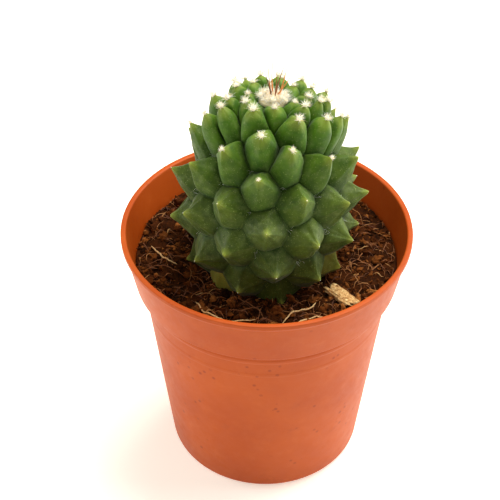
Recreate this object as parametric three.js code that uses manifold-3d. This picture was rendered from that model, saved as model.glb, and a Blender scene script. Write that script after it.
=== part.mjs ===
// A round cactus with large tubercles, standing in soil in a small plastic nursery pot.
// Millimetres, +Z up. The origin is the centre of the pot's underside, on the table.
import * as THREE from "three";
import { mergeVertices } from "three/addons/utils/BufferGeometryUtils.js";
import Module from "manifold-3d";

// ---------------------------------------------------------------- driving dimensions

// Pot
const POT_HEIGHT = 82;
const RIM_RADIUS = 42.5;
const RIM_WIDTH = 1.6; // width of the flat top of the rim
const LIP_DROP = 1.4; // height of the thin lip under that flat
const LIP_OVERHANG = 0.8; // how far the lip stands out from the collar
const COLLAR_HEIGHT = 16; // from the ledge to the top of the rim
const COLLAR_DRAFT = 2.6; // how much the collar narrows towards the ledge
const LEDGE_WIDTH = 2.2; // the step from the collar in to the body
const LEDGE_DROP = 0.6; // the step's slope
const BASE_RADIUS = 30;
const BASE_CHAMFER = 1.5;
const WALL = 1; // thickness of every wall of the pot
const FOOT_WIDTH = 4; // flat ring that the pot stands on
const FLOOR_LIFT = 2; // height of the recess inside that ring
const FLOOR_THICKNESS = 1.2;
const DRAIN_COUNT = 6;
const DRAIN_RADIUS = 3;
const DRAIN_CIRCLE = 17;

// Soil
const SOIL_BELOW_RIM = 10.5; // at the pot's wall
const SOIL_DIP = 1.5; // how much lower the soil lies at the pot's axis
const MOAT_WIDTH = 7; // hollow in the soil around the plant, under its oldest tubercles
const MOAT_DEPTH = 4.5;
const GAP = 0.3; // clearance between neighbouring solids

// Plant
const CORE_HEIGHT = 54; // from the soil to the skin of the crown
const CORE_RADIUS = 21.7; // widest radius at the bottom of the creases
const ROOT_DEPTH = 38; // how far the root reaches down into the soil
const ROOT_TAPER = 1.5; // 1 makes the root a cone, more makes it blunter
const LEAN_RIGHT = 2.9; // degrees
const LEAN_FRONT = 4.7; // degrees, at the soil
const BEND_BACK = 11.9; // degrees the stem bends back between the soil and the crown
const PLANT_X = -1; // where the plant's axis enters the soil
const PLANT_Y = 1;
const TUBERCLE_LENGTH = 10;
const TUBERCLE_COUNT = 85;
const DIVERGENCE = 137.9; // degrees between one tubercle and the next
const FIRST_AZIMUTH = 298.2; // of tubercle 0; 0 faces -Y, positive towards +X
const SADDLE = 1.2; // how high the crease rises halfway between two corners
const ROUNDING = 0.7; // how round a tubercle's section gets near its tip

// Wool, spines and what lies on the soil
const LAST_TUFT = 44; // the oldest tubercle that still carries wool
const TUFT_RADIUS = 1.7;
const TUFT_FLATNESS = 0.7;
const CROWN_WOOL_HEIGHT = 3.4;
const SPINE_LENGTH = 6.5;
const SPINE_RADIUS = 0.25;
const FIBRE_RADIUS = 0.25;
const CHIP_LENGTH = 9.5;
const CHIP_WIDTH = 3.8;
const CHIP_THICKNESS = 1.6;

// The creases' outline from the crown's centre down to the soil, as shares of
// CORE_RADIUS and CORE_HEIGHT.
const CORE_OUTLINE = [
  [0, 1],
  [0.17, 0.998],
  [0.3, 0.985],
  [0.41, 0.95],
  [0.51, 0.895],
  [0.63, 0.818],
  [0.77, 0.715],
  [0.905, 0.59],
  [0.99, 0.45],
  [0.955, 0.26],
  [0.86, 0.09],
  [0.79, 0],
];

// How a tubercle changes as it ages: its number counted from the crown's centre, how
// far along the core's outline it stands, its length as a share of TUBERCLE_LENGTH,
// how many degrees it points above level, and how full its sides are: 1 is a straight
// cone, 2 a dome.
const GROWTH_STAGES = [
  [2, 0.036, 0.12, 86, 2],
  [6, 0.091, 0.25, 82, 2],
  [11, 0.131, 0.42, 79, 2],
  [18, 0.173, 0.66, 73, 2.1],
  [26, 0.235, 0.84, 67, 2.1],
  [34, 0.301, 0.96, 60, 2],
  [41, 0.375, 0.94, 53, 1.8],
  [50, 0.49, 0.86, 40, 1.5],
  [60, 0.604, 0.76, 22, 1.3],
  [72, 0.775, 0.64, 2, 1.3],
  [86, 1, 0.42, -10, 1.3],
];
const [PLACE, LENGTH, RISE, FULLNESS] = [1, 2, 3, 4]; // columns of GROWTH_STAGES

// How a tuft shrinks as its tubercle ages: the tubercle's number, share of TUFT_RADIUS.
const TUFT_STAGES = [
  [6, 0.5],
  [11, 0.8],
  [18, 1],
  [31, 0.8],
  [44, 0.4],
];

// Spines in the crown: where each starts on the wool and where it points, as an
// azimuth, a distance from the crown's centre, and a tilt away from upright.
const CROWN_SPINES = [
  { azimuth: 10, distance: 1.9, tilt: 14 },
  { azimuth: 62, distance: 1.6, tilt: 26 },
  { azimuth: 115, distance: 2.1, tilt: 20 },
  { azimuth: 170, distance: 1.5, tilt: 10 },
  { azimuth: 222, distance: 2, tilt: 24 },
  { azimuth: 276, distance: 1.7, tilt: 18 },
  { azimuth: 325, distance: 2.2, tilt: 30 },
];

// Loose fibres on the soil, as points of azimuth and share of the way from the plant
// to the wall.
const FIBRES = [
  [[-44, 0.45], [-34, 0.62], [-20, 0.6], [-6, 0.42]],
  [[8, 0.5], [16, 0.3], [26, 0.34], [34, 0.2]],
  [[12, 0.72], [20, 0.6], [30, 0.66]],
  [[-78, 0.3], [-84, 0.55], [-96, 0.8]],
  [[120, 0.4], [136, 0.7], [150, 0.55]],
];

const CHIP_AZIMUTH = 47;
const CHIP_SHARE = 0.42; // of the way from the plant to the wall
const CHIP_TURN = 53; // the chip's long side, from +X towards -Y

// Tubercles around the crown that their neighbours crowd out of the spiral, in degrees
// of azimuth.
const CROWDED = { 15: 20, 18: -6, 20: 18, 23: 20, 26: -22, 28: 22, 31: 5, 33: 14, 34: -8 };

// ---------------------------------------------------------------- mesh resolution

const POT_SEGMENTS = 64;
const DRAIN_SEGMENTS = 12;
const SOIL_SEGMENTS = 48;
const SOIL_RINGS = 6;
const WOOL_SEGMENTS = 16;
const SPINE_SEGMENTS = 6;
const FIBRE_SIDES = 5;
const FIBRE_STEPS = 12;
const CORE_STEPS = 600; // rows of the table that walks down the core
const NORMAL_STEP = 0.02; // of the flat map, to either side of a point
const EDGE_STEPS = 2; // points along each crease between two corners
const TUBERCLE_RINGS = 3; // levels between a tubercle's crease and its tip

// ---------------------------------------------------------------- small helpers

const wasm = await Module();
wasm.setup();

const radians = (degrees) => (degrees * Math.PI) / 180;
const lerp = (a, b, t) => a + (b - a) * t;

// Reads column c of a table whose first column rises, between its rows.
function readTable(table, x, c) {
  const last = table.length - 1;
  let i = 1;
  while (i < last && table[i][0] < x) i++;
  const [x0, x1] = [table[i - 1][0], table[i][0]];
  const t = THREE.MathUtils.clamp((x - x0) / (x1 - x0), 0, 1);
  return lerp(table[i - 1][c], table[i][c], t);
}

function toSolid(geometry) {
  const bare = geometry.clone();
  bare.deleteAttribute("normal");
  bare.deleteAttribute("uv");
  const merged = mergeVertices(bare, 1e-4);
  const vertProperties = new Float32Array(merged.attributes.position.array);
  const triVerts = new Uint32Array(merged.index.array);
  return new wasm.Manifold(new wasm.Mesh({ numProp: 3, vertProperties, triVerts }));
}

function toGeometry(solid) {
  const { vertProperties, triVerts } = solid.getMesh();
  const geometry = new THREE.BufferGeometry();
  geometry.setAttribute("position", new THREE.BufferAttribute(vertProperties, 3));
  geometry.setIndex(new THREE.BufferAttribute(triVerts, 1));
  return geometry;
}

// Turns a closed outline of [radius, height] pairs about the Z axis.
function turn(outline, segments) {
  const points = outline.map(([r, z]) => new THREE.Vector2(r, z));
  return new THREE.LatheGeometry(points, segments).rotateX(Math.PI / 2);
}

function paint(color, roughness) {
  return new THREE.MeshStandardMaterial({ color, roughness, metalness: 0 });
}

const materials = {
  pot: paint(0xc6673a, 0.55),
  soil: paint(0x54311a, 1),
  cactus: paint(0x4f6b32, 0.7),
  wool: paint(0xf3ecd8, 1),
  spine: paint(0x8a4a1c, 0.5),
  fibre: paint(0xc9a068, 0.9),
  chip: paint(0xd9b98a, 0.9),
};

const part = new THREE.Group();

function addMesh(name, geometry, material) {
  const mesh = new THREE.Mesh(geometry, material);
  mesh.name = name;
  part.add(mesh);
  return mesh;
}

// ---------------------------------------------------------------- pot

const ledgeHeight = POT_HEIGHT - COLLAR_HEIGHT;
const collarTopRadius = RIM_RADIUS - LIP_OVERHANG;
const collarBottomRadius = collarTopRadius - COLLAR_DRAFT;
const bodyTopRadius = collarBottomRadius - LEDGE_WIDTH;
const floorTop = FLOOR_LIFT + FLOOR_THICKNESS;
const footInnerRadius = BASE_RADIUS - BASE_CHAMFER - FOOT_WIDTH;

// The inside of the pot, from the rim down to the floor, as [radius, height].
const potInside = [
  [RIM_RADIUS - RIM_WIDTH, POT_HEIGHT],
  [collarBottomRadius - WALL, ledgeHeight + WALL],
  [bodyTopRadius - WALL, ledgeHeight + WALL - LEDGE_DROP],
  [BASE_RADIUS - WALL, floorTop + BASE_CHAMFER],
  [BASE_RADIUS - WALL - BASE_CHAMFER, floorTop],
];

function makePot() {
  const outside = [
    [0, FLOOR_LIFT],
    [footInnerRadius - FLOOR_LIFT, FLOOR_LIFT],
    [footInnerRadius, 0],
    [BASE_RADIUS - BASE_CHAMFER, 0],
    [BASE_RADIUS, BASE_CHAMFER],
    [bodyTopRadius, ledgeHeight - LEDGE_DROP],
    [collarBottomRadius, ledgeHeight],
    [collarTopRadius, POT_HEIGHT - LIP_DROP - LIP_OVERHANG],
    [RIM_RADIUS, POT_HEIGHT - LIP_DROP],
    [RIM_RADIUS, POT_HEIGHT],
  ];
  const shell = turn([...outside, ...potInside, [0, floorTop]], POT_SEGMENTS);
  return toGeometry(cutDrains(toSolid(shell)));
}

function cutDrains(shell) {
  const depth = 4 * floorTop;
  let cut = shell;
  for (let i = 0; i <= DRAIN_COUNT; i++) {
    const hole = new THREE.CylinderGeometry(DRAIN_RADIUS, DRAIN_RADIUS, depth, DRAIN_SEGMENTS);
    const angle = (2 * Math.PI * i) / DRAIN_COUNT;
    const distance = i === DRAIN_COUNT ? 0 : DRAIN_CIRCLE;
    hole.rotateX(Math.PI / 2);
    hole.translate(distance * Math.cos(angle), distance * Math.sin(angle), 0);
    cut = cut.subtract(toSolid(hole));
  }
  return cut;
}

// ---------------------------------------------------------------- plant: shape of the core

const soilLevel = POT_HEIGHT - SOIL_BELOW_RIM;
const soilAtPlant = soilLevel - SOIL_DIP;

const coreCurve = new THREE.SplineCurve(
  CORE_OUTLINE.map(([r, h]) => new THREE.Vector2(r * CORE_RADIUS, h * CORE_HEIGHT)),
);

// Walks down the core and notes, at each step, the radius, the height above the soil,
// the length so far, and the stretch: that length counted in local radii, which makes
// a flat map of the skin true to its angles.
function walkCore() {
  const rows = [];
  let length = 0;
  let stretch = 0;
  let before = null;
  for (const p of coreCurve.getPoints(CORE_STEPS)) {
    if (before) {
      const step = p.distanceTo(before);
      length += step;
      stretch += (2 * step) / (p.x + before.x);
    }
    rows.push({ length, stretch, radius: p.x, height: p.y });
    before = p;
  }
  return rows;
}

const coreRows = walkCore();
const coreByLength = coreRows.map((c) => [c.length, c.stretch]);
const coreByStretch = coreRows.map((c) => [c.stretch, c.radius, c.height]);

const coreLength = coreRows[coreRows.length - 1].length;
const stageOf = (age, column) => readTable(GROWTH_STAGES, age, column);
const stretchAt = (age) => readTable(coreByLength, coreLength * stageOf(age, PLACE), 1);
const azimuthOf = (age) => radians(FIRST_AZIMUTH - DIVERGENCE * age + (CROWDED[age] ?? 0));

// A point of the core's skin from its place on the flat map.
function corePoint(azimuth, stretch) {
  const radius = readTable(coreByStretch, stretch, 1);
  const height = readTable(coreByStretch, stretch, 2);
  return new THREE.Vector3(radius * Math.sin(azimuth), -radius * Math.cos(azimuth), height);
}

function coreNormal(azimuth, stretch) {
  const above = corePoint(azimuth, stretch - NORMAL_STEP);
  const below = corePoint(azimuth, stretch + NORMAL_STEP);
  const across = new THREE.Vector3(Math.cos(azimuth), Math.sin(azimuth), 0);
  return across.cross(above.sub(below)).normalize();
}

// ---------------------------------------------------------------- plant: tubercles

const FIRST_TUBERCLE = 6;
const NEIGHBOUR_REACH = 34; // tubercles further apart in age than this never touch
const crownStretch = stretchAt(FIRST_TUBERCLE - 1);
const neckStretch = coreByStretch[coreByStretch.length - 1][0];

function makeTubercle(age) {
  const azimuth = azimuthOf(age);
  const stretch = stretchAt(age);
  const length = TUBERCLE_LENGTH * stageOf(age, LENGTH);
  const rise = radians(stageOf(age, RISE));
  const fullness = stageOf(age, FULLNESS);
  const outward = new THREE.Vector3(Math.sin(azimuth), -Math.cos(azimuth), 0);
  const axis = outward.multiplyScalar(Math.cos(rise)).setZ(Math.sin(rise));
  const foot = corePoint(azimuth, stretch);
  const tip = foot.clone().addScaledVector(axis, length);
  return { age, azimuth, stretch, fullness, axis, foot, tip };
}

// Keeps the part of a flat polygon that lies nearer to point a than to point b.
function clipNearer(polygon, a, b) {
  const [nx, ny] = [b[0] - a[0], b[1] - a[1]];
  const limit = (b[0] ** 2 + b[1] ** 2 - a[0] ** 2 - a[1] ** 2) / 2;
  const side = (p) => p[0] * nx + p[1] * ny - limit;
  const kept = [];
  polygon.forEach((p, i) => {
    const q = polygon[(i + 1) % polygon.length];
    const [dp, dq] = [side(p), side(q)];
    if (dp <= 0) kept.push(p);
    if (dp <= 0 !== dq <= 0) {
      const t = dp / (dp - dq);
      kept.push([lerp(p[0], q[0], t), lerp(p[1], q[1], t)]);
    }
  });
  return kept;
}

// The patch of the flat map that belongs to one tubercle.
function patchOf(tubercle, all) {
  const here = [tubercle.azimuth, tubercle.stretch];
  const reach = 2;
  let polygon = [
    [here[0] - reach, crownStretch],
    [here[0] - reach, neckStretch],
    [here[0] + reach, neckStretch],
    [here[0] + reach, crownStretch],
  ];
  for (const other of all) {
    if (other === tubercle || Math.abs(other.age - tubercle.age) > NEIGHBOUR_REACH) continue;
    const turns = Math.round((here[0] - other.azimuth) / (2 * Math.PI));
    for (const extra of [-1, 0, 1]) {
      const azimuth = other.azimuth + (turns + extra) * 2 * Math.PI;
      polygon = clipNearer(polygon, here, [azimuth, other.stretch]);
    }
  }
  return polygon;
}

const onEdge = (stretch, limit) => Math.abs(stretch - limit) < 1e-6;

// The crease around a patch: the corners lie on the core, and between two corners
// the crease rises in a low saddle.
function creaseAround(polygon) {
  const points = [];
  polygon.forEach((p, i) => {
    const q = polygon[(i + 1) % polygon.length];
    const start = corePoint(...p);
    const span = start.distanceTo(corePoint(...q));
    const rim = [crownStretch, neckStretch].some((s) => onEdge(p[1], s) && onEdge(q[1], s));
    const rise = rim ? 0 : SADDLE * Math.min(1, span / TUBERCLE_LENGTH);
    for (let j = 0; j < EDGE_STEPS; j++) {
      const t = j / EDGE_STEPS;
      const [u, v] = [lerp(p[0], q[0], t), lerp(p[1], q[1], t)];
      const point = corePoint(u, v);
      if (j) point.addScaledVector(coreNormal(u, v), rise * Math.sin(Math.PI * t));
      if (onEdge(v, crownStretch)) point.edge = "crown";
      if (onEdge(v, neckStretch)) point.edge = "neck";
      points.push(point);
    }
  });
  return points;
}

// One level of a tubercle: the crease shrunk towards the axis and lifted along it,
// rounder the nearer it is to the tip.
function ringAt(tubercle, crease, level) {
  const turnAngle = (level / (TUBERCLE_RINGS + 1)) * (Math.PI / 2);
  const share = Math.cos(turnAngle) ** (2 / tubercle.fullness);
  const lift = Math.sin(turnAngle) ** (2 / tubercle.fullness);
  const middle = tubercle.foot.clone().lerp(tubercle.tip, lift);
  const arms = crease.map((p) => p.clone().sub(tubercle.foot));
  const mean = arms.reduce((sum, arm) => sum + arm.length(), 0) / arms.length;
  return arms.map((arm) => {
    const size = lerp(arm.length(), mean, ROUNDING * lift);
    return arm.setLength(size * share).add(middle);
  });
}

// ---------------------------------------------------------------- plant: one skin

const triangles = []; // corners of the plant's skin, three points at a time

function addBand(lower, upper) {
  lower.forEach((a, i) => {
    const j = (i + 1) % lower.length;
    triangles.push(a, lower[j], upper[j], a, upper[j], upper[i]);
  });
}

function addFan(ring, centre) {
  ring.forEach((a, i) => triangles.push(a, ring[(i + 1) % ring.length], centre));
}

// Sorts the loose points of a level edge by azimuth, each place once.
function sortedLoop(points) {
  const azimuth = (p) => Math.atan2(p.y, p.x);
  const sorted = [...points].sort((a, b) => azimuth(a) - azimuth(b));
  return sorted.filter((p, i) => p.distanceTo(sorted[(i + 1) % sorted.length]) > 1e-3);
}

const ROOT_LEVELS = 4;

// The root is a blunt cone from the neck down to its tip.
function addRoot(neck) {
  let above = neck;
  for (let level = 1; level < ROOT_LEVELS; level++) {
    const t = level / ROOT_LEVELS;
    const share = 1 - t ** ROOT_TAPER;
    const below = neck.map((p) => new THREE.Vector3(p.x * share, p.y * share, -ROOT_DEPTH * t));
    addBand(below, above);
    above = below;
  }
  addFan([...above].reverse(), new THREE.Vector3(0, 0, -ROOT_DEPTH));
}

// Sets a point of the upright plant into the soil. The stem starts out leaning to the
// front and bends back on its way up to the crown.
function settle(point) {
  const bent = Math.max(0, point.z / CORE_HEIGHT);
  const right = radians(LEAN_RIGHT);
  const back = radians(BEND_BACK * bent - LEAN_FRONT);
  const meanBack = radians((BEND_BACK * bent) / 2 - LEAN_FRONT);
  return new THREE.Vector3(
    PLANT_X + point.z * right + point.x * Math.cos(right),
    PLANT_Y + point.z * meanBack + point.y * Math.cos(back),
    soilAtPlant + point.z - point.x * Math.sin(right) - point.y * Math.sin(back),
  );
}

function settleAll(geometry) {
  const corners = geometry.getAttribute("position");
  for (let i = 0; i < corners.count; i++) {
    const place = settle(new THREE.Vector3().fromBufferAttribute(corners, i));
    corners.setXYZ(i, ...place);
  }
  return geometry;
}

const tubercles = [];
for (let age = FIRST_TUBERCLE; age <= TUBERCLE_COUNT; age++) tubercles.push(makeTubercle(age));

function makeCactus() {
  const crownEdge = [];
  const neckEdge = [];
  for (const tubercle of tubercles) {
    const crease = creaseAround(patchOf(tubercle, tubercles));
    crownEdge.push(...crease.filter((p) => p.edge === "crown"));
    neckEdge.push(...crease.filter((p) => p.edge === "neck"));
    let below = crease;
    for (let level = 1; level <= TUBERCLE_RINGS; level++) {
      const ring = ringAt(tubercle, crease, level);
      addBand(below, ring);
      below = ring;
    }
    addFan(below, tubercle.tip);
  }
  addFan(sortedLoop(crownEdge), corePoint(0, 0));
  addRoot(sortedLoop(neckEdge));
  return settleAll(new THREE.BufferGeometry().setFromPoints(triangles));
}

// ---------------------------------------------------------------- soil

const neckRadius = CORE_RADIUS * CORE_OUTLINE[CORE_OUTLINE.length - 1][0];
const moatRadius = neckRadius + GAP + MOAT_WIDTH;
const insideRows = [...potInside].reverse().map(([r, z]) => [z, r]);
const insideRadius = (height) => readTable(insideRows, height, 1);

// Height of the soil's surface at a distance from the pot's axis, the moat apart.
function soilHeight(distance) {
  return soilAtPlant + SOIL_DIP * (distance / insideRadius(soilLevel)) ** 2;
}

// What the plant takes out of the soil: its root with a clearance, the moat and all
// that would lie above the moat.
function plantHole() {
  const outline = [[0, -ROOT_DEPTH - 2 * GAP]];
  for (let level = ROOT_LEVELS - 1; level > 0; level--) {
    const t = level / ROOT_LEVELS;
    outline.push([neckRadius * (1 - t ** ROOT_TAPER) + GAP, -ROOT_DEPTH * t - GAP]);
  }
  outline.push([neckRadius + GAP, -MOAT_DEPTH]);
  outline.push([moatRadius, SOIL_DIP + GAP]);
  outline.push([moatRadius, TUBERCLE_LENGTH]);
  outline.push([0, TUBERCLE_LENGTH]);
  return settleAll(turn(outline, SOIL_SEGMENTS));
}

function makeSoil() {
  const sunk = insideRows.filter(([z]) => z + 2 * GAP < soilLevel);
  const wall = sunk.map(([z, r]) => [r - GAP, z + GAP]);
  const top = [];
  for (let i = 0; i <= SOIL_RINGS; i++) {
    const distance = (insideRadius(soilLevel) - GAP) * (1 - i / SOIL_RINGS);
    top.push([distance, soilHeight(distance)]);
  }
  const block = turn([[0, floorTop + GAP], ...wall, ...top], SOIL_SEGMENTS);
  return toGeometry(toSolid(block).subtract(toSolid(plantHole())));
}

// ---------------------------------------------------------------- wool and spines

const upright = new THREE.Vector3(0, 0, 1);

// A tuft is a flattened ball that sits on a tubercle's tip.
function makeTuft(tubercle) {
  const radius = TUFT_RADIUS * readTable(TUFT_STAGES, tubercle.age, 1);
  const ball = new THREE.IcosahedronGeometry(radius, 1).scale(1, 1, TUFT_FLATNESS);
  const seat = tubercle.axis.clone().multiplyScalar(radius * TUFT_FLATNESS + GAP);
  const turnTo = new THREE.Quaternion().setFromUnitVectors(upright, tubercle.axis);
  ball.applyQuaternion(turnTo).translate(...tubercle.tip.clone().add(seat));
  return settleAll(ball);
}

const crownRadius = readTable(coreByStretch, crownStretch, 1) - GAP;
const crownHeight = CORE_HEIGHT + 2 * GAP;

function makeCrownWool() {
  const outline = [
    [0, 0],
    [crownRadius, 0],
    [crownRadius, CROWN_WOOL_HEIGHT * 0.45],
    [crownRadius * 0.75, CROWN_WOOL_HEIGHT * 0.85],
    [0, CROWN_WOOL_HEIGHT],
  ];
  return settleAll(turn(outline, WOOL_SEGMENTS).translate(0, 0, crownHeight));
}

function makeSpine({ azimuth, distance, tilt }) {
  const spine = new THREE.ConeGeometry(SPINE_RADIUS, SPINE_LENGTH, SPINE_SEGMENTS);
  spine.rotateX(Math.PI / 2).translate(0, 0, SPINE_LENGTH / 2);
  spine.rotateY(radians(tilt)).translate(distance, 0, 0);
  spine.rotateZ(radians(azimuth));
  spine.translate(0, 0, crownHeight + CROWN_WOOL_HEIGHT + GAP);
  return settleAll(spine);
}

// ---------------------------------------------------------------- what lies on the soil

// A point on the soil from an azimuth and a share of the way from plant to wall.
function soilPoint(azimuth, share, lift) {
  const far = insideRadius(soilLevel) - 2 * GAP - FIBRE_RADIUS;
  const distance = lerp(neckRadius + TUBERCLE_LENGTH / 2, far, share);
  const x = distance * Math.sin(radians(azimuth));
  const y = -distance * Math.cos(radians(azimuth));
  return new THREE.Vector3(x, y, soilHeight(distance) + lift);
}

function makeFibre(route) {
  const lift = FIBRE_RADIUS + 2 * GAP;
  const points = route.map(([azimuth, share]) => soilPoint(azimuth, share, lift));
  const section = new THREE.Shape();
  for (let i = 0; i <= FIBRE_SIDES; i++) {
    const angle = (2 * Math.PI * i) / FIBRE_SIDES;
    const corner = [FIBRE_RADIUS * Math.cos(angle), FIBRE_RADIUS * Math.sin(angle)];
    if (i) section.lineTo(...corner);
    else section.moveTo(...corner);
  }
  const extrudePath = new THREE.CatmullRomCurve3(points);
  return new THREE.ExtrudeGeometry(section, { steps: FIBRE_STEPS, extrudePath, bevelEnabled: false });
}

// A flake of bark with ragged ends.
function makeChip() {
  const [l, w] = [CHIP_LENGTH / 2, CHIP_WIDTH / 2];
  const outline = new THREE.Shape();
  outline.moveTo(-l, -0.4 * w);
  outline.lineTo(-0.7 * l, -w);
  outline.lineTo(0.6 * l, -0.85 * w);
  outline.lineTo(l, -0.3 * w);
  outline.lineTo(0.75 * l, 0.1 * w);
  outline.lineTo(0.95 * l, 0.7 * w);
  outline.lineTo(-0.2 * l, w);
  outline.lineTo(-0.8 * l, 0.55 * w);
  const chip = new THREE.ExtrudeGeometry(outline, { depth: CHIP_THICKNESS, bevelEnabled: false });
  chip.rotateZ(-radians(CHIP_TURN));
  const seat = soilPoint(CHIP_AZIMUTH, CHIP_SHARE, 0);
  const highest = soilHeight(Math.hypot(seat.x, seat.y) + l);
  return chip.translate(seat.x, seat.y, highest + GAP);
}

// ---------------------------------------------------------------- assembly

const numbered = (name, number) => name + "_" + String(number).padStart(2, "0");

addMesh("pot", makePot(), materials.pot);
addMesh("soil", makeSoil(), materials.soil);
addMesh("cactus", makeCactus(), materials.cactus);
addMesh("crown_wool", makeCrownWool(), materials.wool);
tubercles
  .filter((t) => t.age <= LAST_TUFT)
  .forEach((t, i) => addMesh(numbered("wool_tuft", i + 1), makeTuft(t), materials.wool));
CROWN_SPINES.forEach((spine, i) => {
  addMesh(numbered("crown_spine", i + 1), makeSpine(spine), materials.spine);
});
FIBRES.forEach((route, i) => {
  addMesh(numbered("coir_fibre", i + 1), makeFibre(route), materials.fibre);
});
addMesh("bark_chip", makeChip(), materials.chip);

export default part;
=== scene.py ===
"""A round cactus in a plastic nursery pot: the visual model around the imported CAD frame.

Lengths are written in millimetres of the design and turned into metres by MM.
The pot's sizes and the plant's outline and growth repeat those of the CAD source, apart
from fuller flanks on the tubercles and one more tubercle at the plant's foot."""

import math
import random

import bmesh
import bpy
import numpy as np
from mathutils import Matrix, Quaternion, Vector, noise


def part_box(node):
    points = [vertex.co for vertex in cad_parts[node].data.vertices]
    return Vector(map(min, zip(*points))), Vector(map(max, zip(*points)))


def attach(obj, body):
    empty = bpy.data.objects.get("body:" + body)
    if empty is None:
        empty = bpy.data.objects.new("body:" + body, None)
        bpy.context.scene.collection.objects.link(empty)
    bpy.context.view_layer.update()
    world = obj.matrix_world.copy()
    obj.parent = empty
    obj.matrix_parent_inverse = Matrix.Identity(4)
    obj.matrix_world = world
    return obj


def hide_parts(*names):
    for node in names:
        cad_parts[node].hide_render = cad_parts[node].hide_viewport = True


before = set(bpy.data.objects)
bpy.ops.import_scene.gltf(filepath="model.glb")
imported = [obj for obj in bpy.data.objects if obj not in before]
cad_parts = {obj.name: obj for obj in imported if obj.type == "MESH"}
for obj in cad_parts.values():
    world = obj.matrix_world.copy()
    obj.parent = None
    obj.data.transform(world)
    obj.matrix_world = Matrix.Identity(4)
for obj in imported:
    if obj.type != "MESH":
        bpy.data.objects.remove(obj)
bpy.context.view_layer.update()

# ---- driving dimensions

POT_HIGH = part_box("pot")[1]
RIM_RADIUS = 42.5
MM = POT_HIGH.x / RIM_RADIUS  # one millimetre of the design, in metres
POT_HEIGHT = POT_HIGH.z / MM
COLLAR_HEIGHT = 16
COLLAR_DRAFT = 2.6
LEDGE_WIDTH = 2.2
LEDGE_DROP = 0.6
LIP_DROP = 1.4
LIP_OVERHANG = 0.8
RIM_WIDTH = 1.6
BASE_RADIUS = 30
BASE_CHAMFER = 1.5
WALL = 1
FOOT_WIDTH = 4  # of the ring that the pot stands on
FLOOR_LIFT = 2
FLOOR_THICKNESS = 1.2
DRAIN_COUNT = 6
DRAIN_RADIUS = 3
DRAIN_CIRCLE = 17

SOIL_LEVEL = POT_HEIGHT - 10.5
SOIL_DIP = 1.5  # how much lower the soil lies around the plant
GAP = 0.3  # between neighbouring pieces of the CAD

CORE_HEIGHT = 54
CORE_RADIUS = 21.7
ROOT_DEPTH = 38
ROOT_TAPER = 1.5
LEAN_RIGHT = 2.9  # degrees
LEAN_FRONT = 4.7  # degrees, at the soil
BEND_BACK = 11.9  # degrees, from the soil to the crown
PLANT_X = -1
PLANT_Y = 1
TUBERCLE_LENGTH = 10
TUBERCLE_COUNT = 86
FIRST_TUBERCLE = 6
DIVERGENCE = 137.9  # degrees from one tubercle to the next
FIRST_AZIMUTH = 298.2
LAST_TUFT = 44  # the oldest tubercle that still carries wool

# Degrees that a crowded tubercle, by its number, is pushed aside.
CROWDED = {15: 20, 18: -6, 20: 18, 23: 20, 26: -22, 28: 22, 31: 5, 33: 14, 34: -8}

# Radius and height along the plant's core, as shares of CORE_RADIUS and CORE_HEIGHT.
CORE_OUTLINE = [
    (0, 1),
    (0.17, 0.998),
    (0.3, 0.985),
    (0.41, 0.95),
    (0.51, 0.895),
    (0.63, 0.818),
    (0.77, 0.715),
    (0.905, 0.59),
    (0.99, 0.45),
    (0.955, 0.26),
    (0.86, 0.09),
    (0.79, 0),
]

# Tubercle number (1 is the youngest), place along the outline, length, degrees above
# level, fullness (1 for straight flanks, more for fuller ones).
GROWTH_STAGES = np.array([
    (2, 0.036, 0.12, 86, 2),
    (6, 0.091, 0.25, 82, 2),
    (11, 0.131, 0.42, 79, 2.4),
    (18, 0.173, 0.66, 73, 2.5),
    (26, 0.235, 0.84, 67, 2.4),
    (34, 0.301, 0.96, 60, 2.1),
    (41, 0.375, 0.94, 53, 1.6),
    (50, 0.49, 0.86, 40, 1.5),
    (60, 0.604, 0.76, 22, 1.5),
    (72, 0.775, 0.64, 2, 1.5),
    (86, 1, 0.42, -10, 1.45),
])
PLACE, LENGTH, RISE, FULLNESS = 1, 2, 3, 4  # columns of GROWTH_STAGES

# ---- meshes and pieces


def make_piece(name, verts, faces, material, slot, replaces=(), marks=None):
    """A mesh object from points in millimetres, with its material, riding on the pot."""
    mesh = bpy.data.meshes.new(name)
    points = (np.asarray(verts, float) * MM).tolist()
    mesh.from_pydata(points, [], [list(map(int, face)) for face in faces])
    for label, values in (marks or {}).items():
        layer = mesh.attributes.new(label, "FLOAT", "POINT")
        layer.data.foreach_set("value", np.asarray(values, np.float32))
    mesh.validate()
    mesh.polygons.foreach_set("use_smooth", [True] * len(mesh.polygons))
    piece = bpy.data.objects.new(name, mesh)
    bpy.context.scene.collection.objects.link(piece)
    mesh.materials.append(material)
    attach(piece, "root")
    if replaces:
        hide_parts(*replaces)
    return piece


class Heap:
    """Collects many small solids into one mesh, each with its own tint mark."""

    def __init__(self):
        self.verts, self.faces, self.tints, self.count = [], [], [], 0

    def add(self, verts, faces, tint):
        self.verts.append(np.asarray(verts, float))
        self.faces.extend([tuple(i + self.count for i in face) for face in faces])
        self.tints.append(np.full(len(verts), tint))
        self.count += len(verts)

    def piece(self, name, material, slot, **more):
        verts = np.concatenate(self.verts)
        marks = {"tint": np.concatenate(self.tints)}
        return make_piece(name, verts, self.faces, material, slot, marks=marks, **more)


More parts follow.
